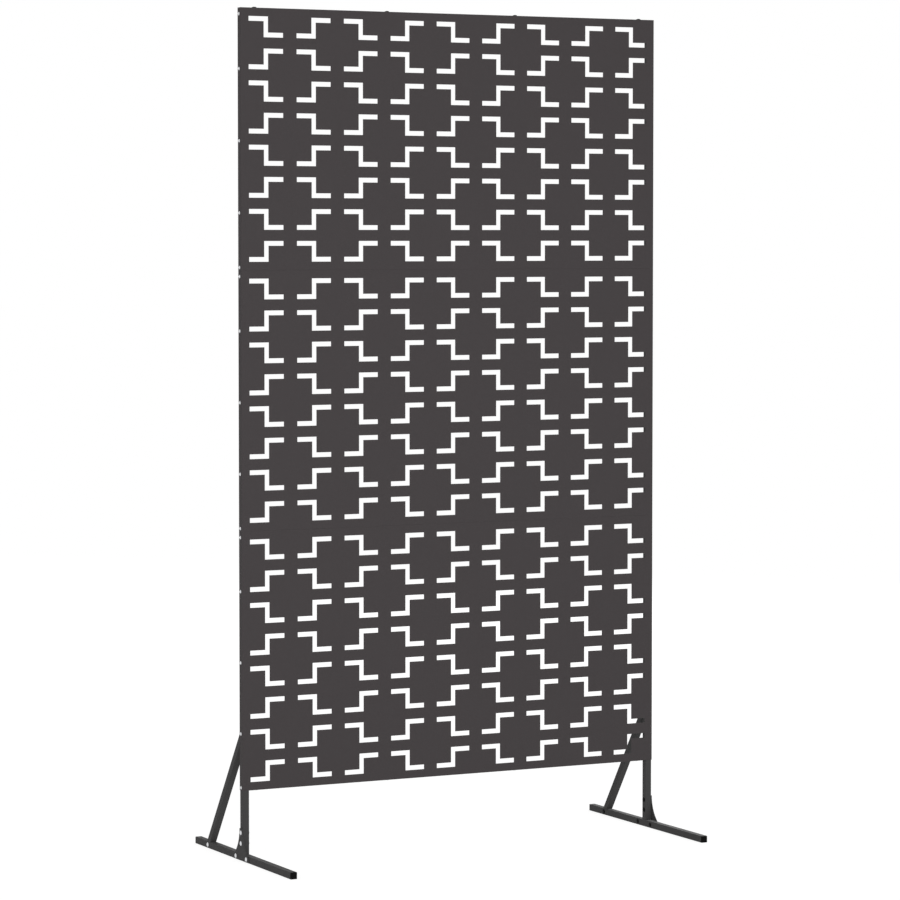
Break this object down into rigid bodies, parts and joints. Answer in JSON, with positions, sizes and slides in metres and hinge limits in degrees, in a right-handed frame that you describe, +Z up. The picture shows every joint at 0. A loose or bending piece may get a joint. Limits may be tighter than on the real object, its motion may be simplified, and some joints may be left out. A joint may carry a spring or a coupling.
{
  "type": "privacy screen",
  "caption": "Free-standing privacy screen: slotted sheet-steel panels stacked between square-tube posts, each on a long foot with a gusset plate and a sloping rear brace.",
  "frame": {"origin": "on the floor, under the middle of the screen", "axes": "+Z up, +X to the right seen from the front, the slotted faces look towards -Y"},
  "size_m": [1.1068, 0.55, 1.9825],
  "materials": {
    "powder_coated_steel": "anthracite powder coat, fine texture, satin to matt",
    "zinc_fasteners": "bright zinc plate",
    "black_nuts": "black, satin",
    "black_plastic": "black moulded plastic, satin"
  },
  "bodies": {
    "root": {"bottom_panel": "powder_coated_steel", "middle_panel": "powder_coated_steel", "top_panel": "powder_coated_steel", "left_lower_post": "powder_coated_steel", "left_middle_post": "powder_coated_steel", "left_upper_post": "powder_coated_steel", "left_lower_sleeve": "powder_coated_steel", "left_upper_sleeve": "powder_coated_steel", "left_foot": "powder_coated_steel", "left_brace": "powder_coated_steel", "left_gusset": "powder_coated_steel", "left_post_cap": "black_plastic", "left_foot_front_cap": "black_plastic", "left_foot_rear_cap": "black_plastic", "left_panel_screws": "zinc_fasteners", "left_gusset_bolts": "zinc_fasteners", "left_brace_bolts": "zinc_fasteners", "left_gusset_nuts": "black_nuts", "left_brace_nuts": "black_nuts", "right_lower_post": "powder_coated_steel", "right_middle_post": "powder_coated_steel", "right_upper_post": "powder_coated_steel", "right_lower_sleeve": "powder_coated_steel", "right_upper_sleeve": "powder_coated_steel", "right_foot": "powder_coated_steel", "right_brace": "powder_coated_steel", "right_gusset": "powder_coated_steel", "right_post_cap": "black_plastic", "right_foot_front_cap": "black_plastic", "right_foot_rear_cap": "black_plastic", "right_panel_screws": "zinc_fasteners", "right_gusset_bolts": "zinc_fasteners", "right_brace_bolts": "zinc_fasteners", "right_gusset_nuts": "black_nuts", "right_brace_nuts": "black_nuts", "lower_seam_bolts": "zinc_fasteners", "lower_seam_nuts": "black_nuts", "upper_seam_bolts": "zinc_fasteners", "upper_seam_nuts": "black_nuts", "top_edge_bolts": "zinc_fasteners", "top_edge_nuts": "black_nuts", "bottom_edge_bolts": "zinc_fasteners", "bottom_edge_nuts": "black_nuts"}
  },
  "joints": []
}
